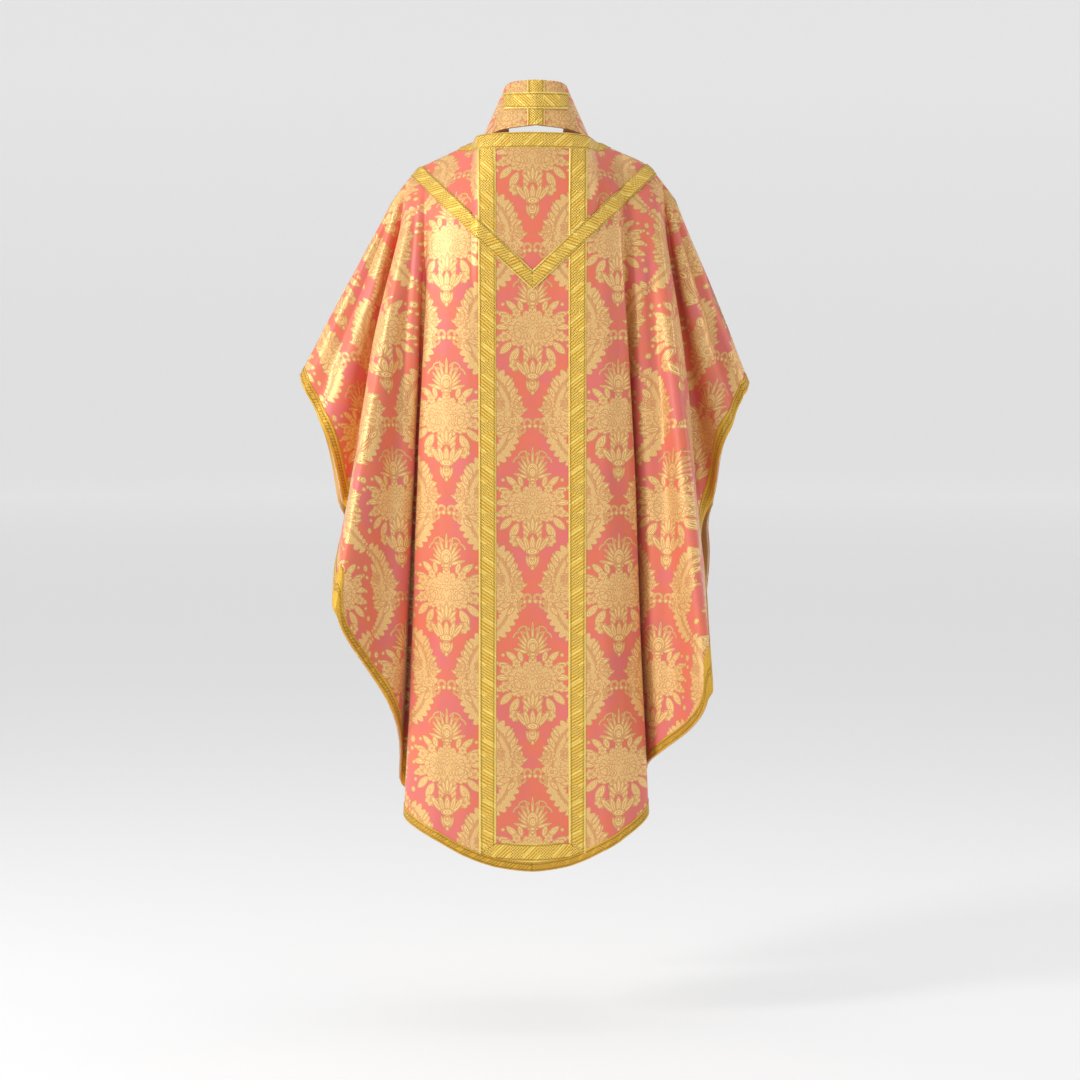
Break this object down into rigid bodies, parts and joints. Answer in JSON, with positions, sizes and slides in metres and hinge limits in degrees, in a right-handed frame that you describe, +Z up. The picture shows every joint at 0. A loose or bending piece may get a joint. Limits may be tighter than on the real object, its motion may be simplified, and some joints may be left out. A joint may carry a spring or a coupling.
{
  "type": "chasuble",
  "caption": "Semi-Gothic liturgical chasuble of floral metallic damask with gold column, V and neck galloons, draped over its matching stole",
  "frame": {"origin": "middle of the neck opening at the height of the back neckline, where the vestment rests on the wearer's shoulders", "axes": "+Z up, -Y towards the back of the vestment, -X towards the wearer's left"},
  "size_m": [0.8009, 0.3721, 1.3867],
  "materials": {
    "brocade": "rose and pale gold floral damask with a silk and metal-thread sheen",
    "galloon": "bright gold braid with diagonal stripes, small blossoms and picot edges",
    "hem_galloon": "narrow darker gold braid along the hem",
    "lining": "plain satin lining in old gold",
    "interlining": "unbleached stiffening cloth",
    "fringe": "twisted gold thread fringe"
  },
  "bodies": {
    "stole": {"stole_brocade_left": "brocade", "stole_brocade_right": "brocade", "stole_lining_left": "lining", "stole_lining_right": "lining", "stole_neck_cross_upright": "galloon", "stole_neck_cross_bar": "galloon", "stole_end_galloon_left": "galloon", "stole_end_galloon_right": "galloon", "stole_fringe_left": "fringe", "stole_fringe_right": "fringe"},
    "chasuble": {"back_brocade_left": "brocade", "back_brocade_centre": "brocade", "back_brocade_right": "brocade", "front_brocade_left": "brocade", "front_brocade_centre": "brocade", "front_brocade_right": "brocade", "back_interlining": "interlining", "front_interlining": "interlining", "back_lining": "lining", "front_lining": "lining", "back_column_galloon_left": "galloon", "back_column_galloon_right": "galloon", "back_v_galloon_left": "galloon", "back_v_galloon_right": "galloon", "back_hem_crossband": "galloon", "back_hem_galloon_left": "hem_galloon", "back_hem_galloon_right": "hem_galloon", "front_column_galloon_left": "galloon", "front_column_galloon_right": "galloon", "front_v_galloon_left": "galloon", "front_v_galloon_right": "galloon", "front_hem_crossband": "galloon", "front_hem_galloon_left": "hem_galloon", "front_hem_galloon_right": "hem_galloon", "neck_galloon_back": "galloon", "neck_galloon_front": "galloon"}
  },
  "joints": [
    {"name": "chasuble_lift", "type": "slide", "parent": "stole", "child": "chasuble", "axis": [0, 0, 1], "range_m": [0, 1.42]}
  ]
}
